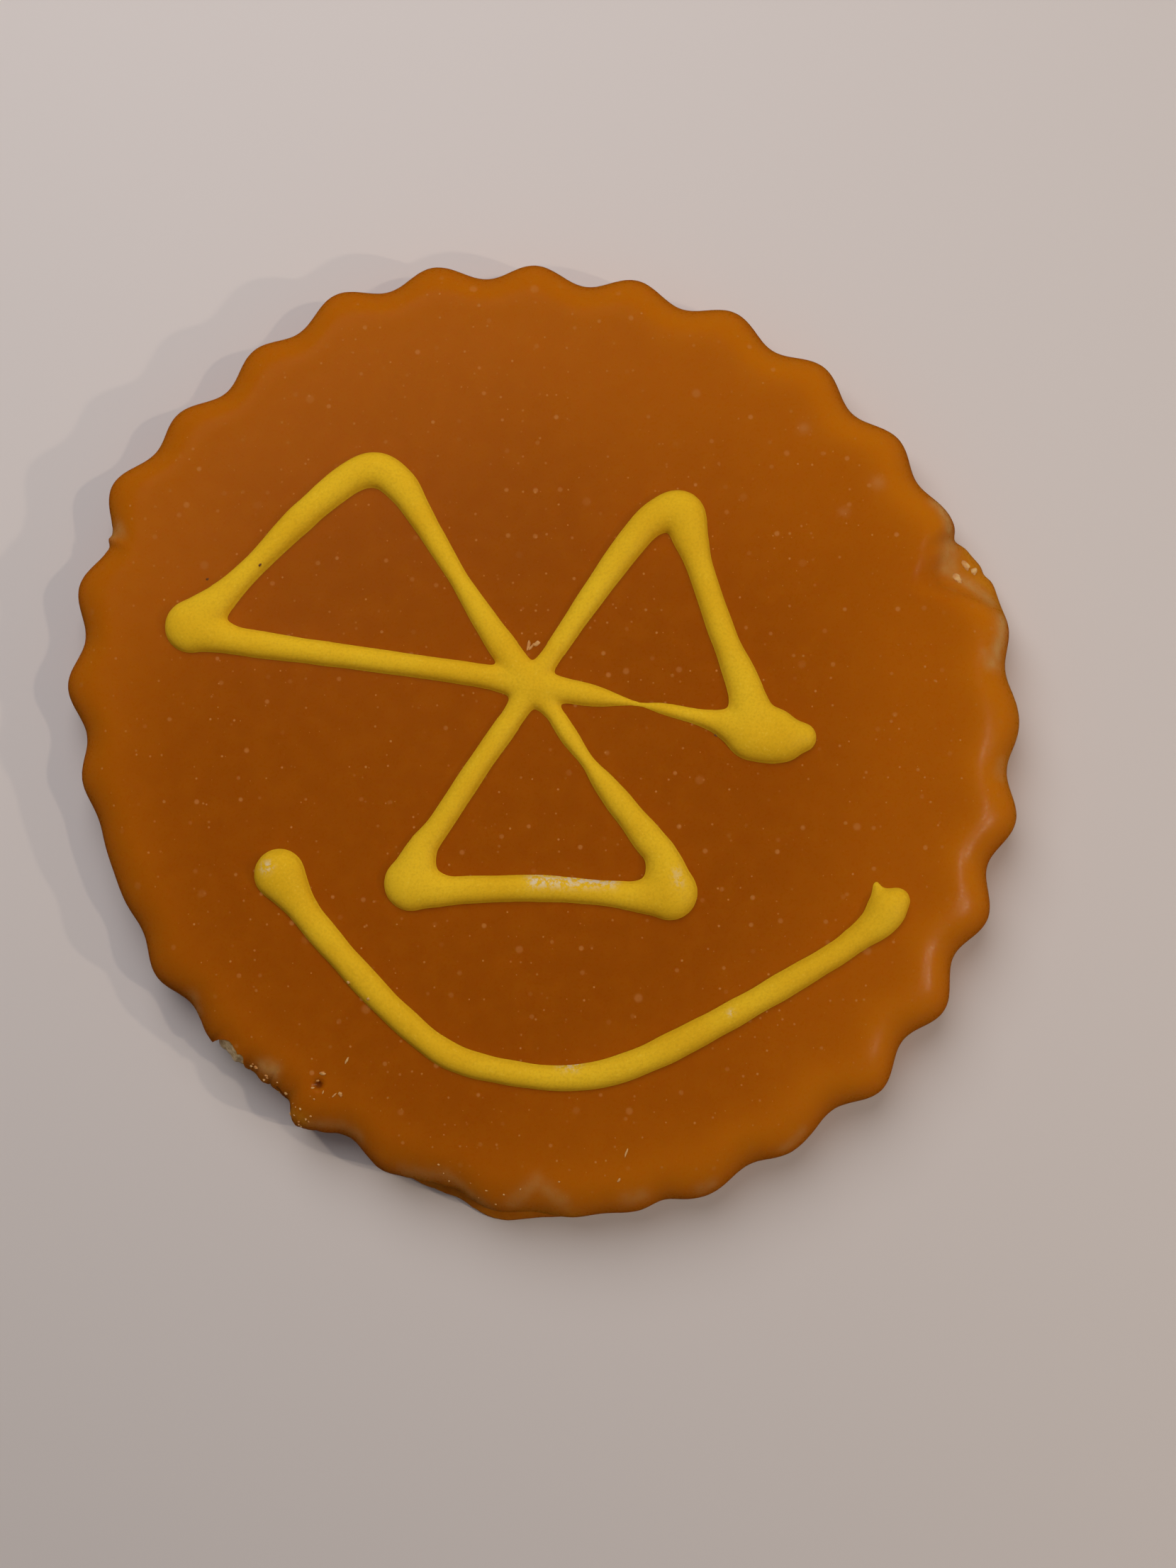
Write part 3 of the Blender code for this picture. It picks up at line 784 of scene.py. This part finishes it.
def scattered_crumbs():
    """Crumbs (x, y, length, width, turn) along the crumbling stretches of the edge."""
    draw = random.Random(CRUMB_SEED)
    crumbs = []
    for angles, insets, sizes, count in EDGE_CRUMBS:
        for _ in range(count):
            angle = draw.uniform(*angles)
            reach = edge_radius(angle, 1.0) / MM - draw.uniform(*insets)
            length = draw.uniform(*sizes)
            turn = math.radians(angle)
            width = length * draw.uniform(0.5, 1)
            crumbs.append((reach * math.cos(turn), reach * math.sin(turn), length, width, draw.uniform(0, 180)))
    return crumbs


def crumbs(name, places, skins, material):
    """Uneven lumps at (x, y, length, width, turn), resting on the uppermost of the skins. None lie off the edge."""
    graph = bpy.context.evaluated_depsgraph_get()
    trees = [BVHTree.FromObject(skin, graph) for skin in skins]
    bm = bmesh.new()
    for i, (x, y, length, width, turn) in enumerate(places):
        above = Vector((x * MM + SHIFT[0], y * MM + SHIFT[1], 1))
        hits = [tree.ray_cast(above, Vector((0, 0, -1)))[0] for tree in trees]
        if not any(hits):
            continue
        height = max(hit.z for hit in hits if hit)
        ball = bmesh.ops.create_icosphere(bm, subdivisions=CRUMB_ROUNDS, radius=0.5)
        for v in ball["verts"]:
            v.co *= 1 + CRUMB_UNEVENNESS * noise.noise(2.5 * v.co + Vector((i, 0, 0)))
        thick = CRUMB_FLATNESS * width
        rest = Vector((x * MM, y * MM, height + (thick / 2 - CRUMB_SINK * width) * MM))
        turned = Matrix.Rotation(math.radians(turn), 4, "Z") @ Matrix.Diagonal((length * MM, width * MM, thick * MM, 1))
        bmesh.ops.transform(bm, matrix=Matrix.Translation(rest) @ turned, verts=ball["verts"])
    return finish(name, bm, None, material)


def floor():
    bpy.ops.mesh.primitive_plane_add(size=4)
    sheet = bpy.context.object
    sheet.name = "floor"
    material, tree, shader = new_material("floor")
    shader.inputs["Base Color"].default_value = (0.735, 0.672, 0.64, 1)
    shader.inputs["Roughness"].default_value = 0.9
    shader.inputs["Specular IOR Level"].default_value = 0.1
    sheet.data.materials.append(material)
    sheet.visible_glossy = False


def aimed(place, aim):
    """A placement at place that looks at aim, with +Y upwards in its view."""
    back = (Vector(place) - Vector(aim)).normalized()
    right = Vector((0, 1, 0)).cross(back).normalized()
    turn = Matrix((right, back.cross(right), back)).transposed()
    return Matrix.Translation(place) @ turn.to_4x4()


def area_light(name, place, size, power, colour, diffuse=True, glossy=True):
    light = bpy.data.lights.new(name, "AREA")
    light.shape = "DISK"
    light.size = size
    light.energy = power
    light.color = colour
    lamp = bpy.data.objects.new(name, light)
    lamp.matrix_world = aimed(place, (0, 0, 0))
    lamp.visible_diffuse = diffuse
    lamp.visible_glossy = glossy
    bpy.context.collection.objects.link(lamp)


def lighting():
    world = bpy.data.worlds.new("studio")
    world.use_nodes = True
    backdrop = world.node_tree.nodes["Background"]
    backdrop.inputs["Color"].default_value = (0.93, 0.95, 1.0, 1)
    backdrop.inputs["Strength"].default_value = 0.14
    world.cycles_visibility.glossy = False
    bpy.context.scene.world = world
    area_light("soft_top", (-0.06, 0.165, 0.255), 0.27, 0.54, (0.985, 0.97, 0.99), glossy=False)
    area_light("sheen_top", (-0.3, 0.5, 0.9), 0.6, 0.5, (1.0, 0.97, 0.95), diffuse=False)
    area_light("right_high", (0.366, -0.035, 0.446), 0.02, 0.42, (1.0, 0.85, 0.68))
    area_light("right_low", (0.284, -0.087, 0.209), 0.01, 0.19, (1.0, 0.85, 0.68))


def camera():
    data = bpy.data.cameras.new("camera")
    data.sensor_fit = "AUTO"
    data.sensor_width = CAMERA_SENSOR
    data.lens = CAMERA_LENS
    data.clip_start = 10 * MM
    shot = bpy.data.objects.new("camera", data)
    shot.matrix_world = aimed(CAMERA_PLACE, CAMERA_AIM)
    bpy.context.collection.objects.link(shot)
    bpy.context.scene.camera = shot


camera()
floor()
lighting()
bpy.context.scene.view_settings.view_transform = "Standard"
icing = yellow_icing()
skins = [
    coat(orange_icing()),
    biscuit(baked_dough()),
    piping("face_piping", FACE_ROUTES, "piped_face", icing),
    piping("smile_piping", SMILE_ROUTES, "piped_smile", icing),
]
pale_dough = crumbled_dough("pale_crumbs", (0.62, 0.27, 0.07), (0.76, 0.46, 0.17))
dark_dough = crumbled_dough("dark_crumbs", (0.10, 0.035, 0.01), (0.22, 0.08, 0.02))
crumbs("pale_crumbs", PALE_CRUMBS + scattered_crumbs(), skins, pale_dough)
crumbs("dark_crumbs", DARK_CRUMBS, skins, dark_dough)
